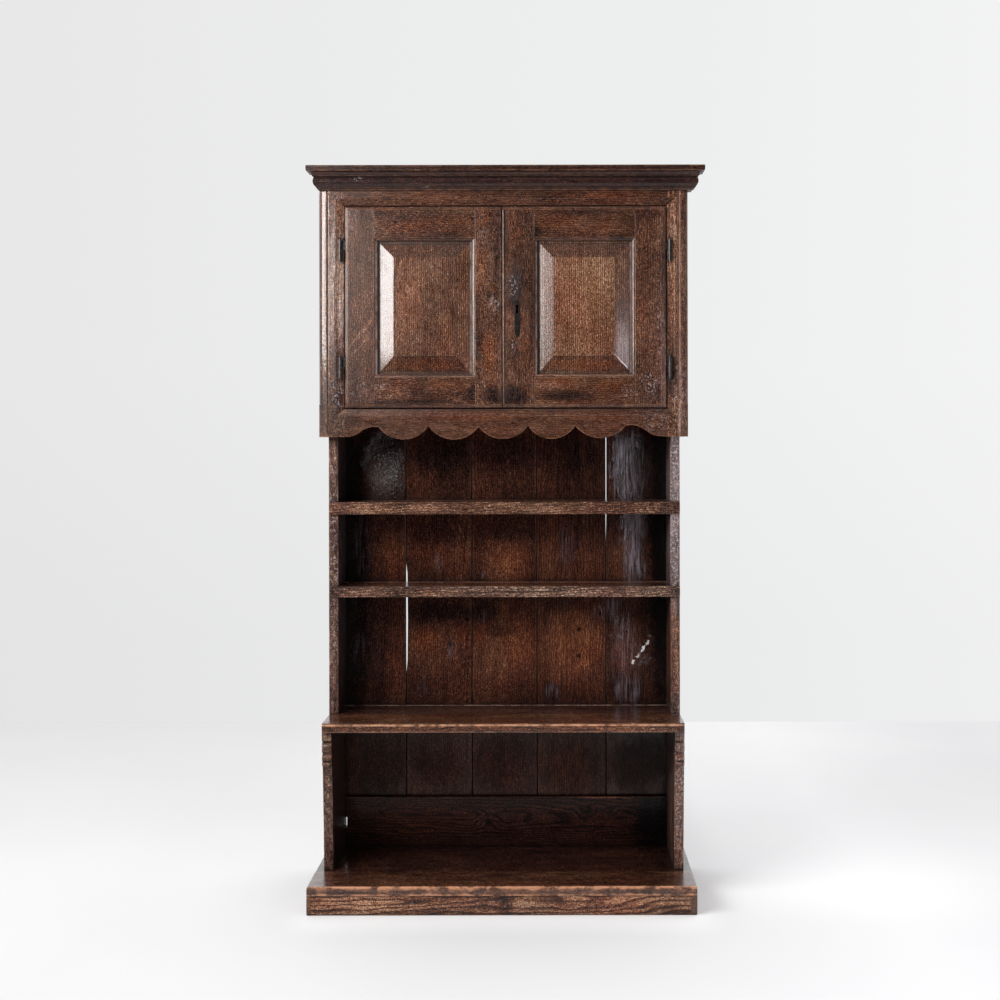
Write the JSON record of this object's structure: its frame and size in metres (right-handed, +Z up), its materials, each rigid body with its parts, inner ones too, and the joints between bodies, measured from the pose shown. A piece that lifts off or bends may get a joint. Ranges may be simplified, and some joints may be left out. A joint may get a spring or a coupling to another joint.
{
  "type": "court cupboard",
  "caption": "Tall oak cupboard: plank sides and shelves make an open rack on a low plinth, under a panelled cupboard with hinged doors, a scalloped apron and a moulded cornice.",
  "frame": {"origin": "middle of the overall footprint, on the floor", "axes": "+Z up; the front faces -Y; +X to the right as seen from the front"},
  "size_m": [1.152, 0.492, 2.105],
  "materials": {
    "oak_front_frame": "dark waxed oak, semi-gloss, worn arrises",
    "oak_door_frame": "dark waxed oak, semi-gloss, worn arrises",
    "oak_panel": "dark waxed oak, glossy",
    "oak_cornice": "dark waxed oak, semi-gloss, purple-brown",
    "oak_sides": "dark waxed oak, semi-gloss",
    "oak_shelves": "waxed oak, worn edges, semi-gloss",
    "oak_back": "dark waxed oak, glossy",
    "oak_plinth": "waxed oak, worn, satin",
    "oak_inner": "dry unwaxed oak, dull",
    "oak_pegs": "dark waxed end-grain oak, satin",
    "iron": "blackened wrought iron, satin, rubbed edges"
  },
  "bodies": {
    "carcass": {"back_board_1": "oak_back", "back_board_2": "oak_back", "back_board_3": "oak_back", "back_board_4": "oak_back", "back_board_5": "oak_back", "cornice_front": "oak_cornice", "cornice_left": "oak_cornice", "cornice_right": "oak_cornice", "cupboard_floor": "oak_inner", "cupboard_inner_shelf": "oak_inner", "cupboard_side_left": "oak_sides", "cupboard_side_right": "oak_sides", "door_stop_top": "oak_inner", "frame_hinge_knuckles": "iron", "frame_pegs": "oak_pegs", "frieze_rail": "oak_front_frame", "front_stile_left": "oak_front_frame", "front_stile_right": "oak_front_frame", "hinge_pins": "iron", "inner_shelf_cleats": "oak_inner", "lower_back_board": "oak_back", "lower_shelf": "oak_shelves", "lower_shelf_nosing": "oak_shelves", "nails": "iron", "plinth_back": "oak_plinth", "plinth_bearers": "oak_plinth", "plinth_end_left": "oak_plinth", "plinth_end_right": "oak_plinth", "plinth_front": "oak_plinth", "plinth_top_front": "oak_plinth", "plinth_top_rear": "oak_plinth", "scalloped_apron": "oak_front_frame", "serving_shelf_front": "oak_shelves", "serving_shelf_rear": "oak_shelves", "side_left": "oak_sides", "side_right": "oak_sides", "top_board": "oak_inner", "upper_shelf": "oak_shelves", "upper_shelf_nosing": "oak_shelves"},
    "left_door": {"left_door_bottom_rail": "oak_door_frame", "left_door_hinge_knuckles": "iron", "left_door_hinge_stile": "oak_door_frame", "left_door_meeting_stile": "oak_door_frame", "left_door_panel": "oak_panel", "left_door_pegs": "oak_pegs", "left_door_top_rail": "oak_door_frame", "bolt_staples": "iron"},
    "right_door": {"right_door_bottom_rail": "oak_door_frame", "right_door_hinge_knuckles": "iron", "right_door_hinge_stile": "oak_door_frame", "right_door_meeting_stile": "oak_door_frame", "right_door_panel": "oak_panel", "right_door_pegs": "oak_pegs", "right_door_top_rail": "oak_door_frame", "escutcheon": "iron", "escutcheon_nails": "iron", "lock_case": "iron", "lock_spring": "iron"},
    "lock_bolt": {"lock_bolt": "iron"},
    "slide_bolt": {"slide_bolt": "iron"}
  },
  "joints": [
    {"name": "left_door_hinge", "type": "hinge", "parent": "carcass", "child": "left_door", "pos_m": [-0.481, -0.0195, 1.693], "axis": [0, 0, -1], "range_deg": [0, 165]},
    {"name": "right_door_hinge", "type": "hinge", "parent": "carcass", "child": "right_door", "pos_m": [0.4765, -0.0195, 1.693], "axis": [0, 0, 1], "range_deg": [0, 165]},
    {"name": "lock_bolt_throw", "type": "slide", "parent": "right_door", "child": "lock_bolt", "axis": [-1, 0, 0], "range_m": [0, 0.018]},
    {"name": "slide_bolt_throw", "type": "slide", "parent": "left_door", "child": "slide_bolt", "axis": [0, 0, 1], "range_m": [0, 0.012]}
  ]
}
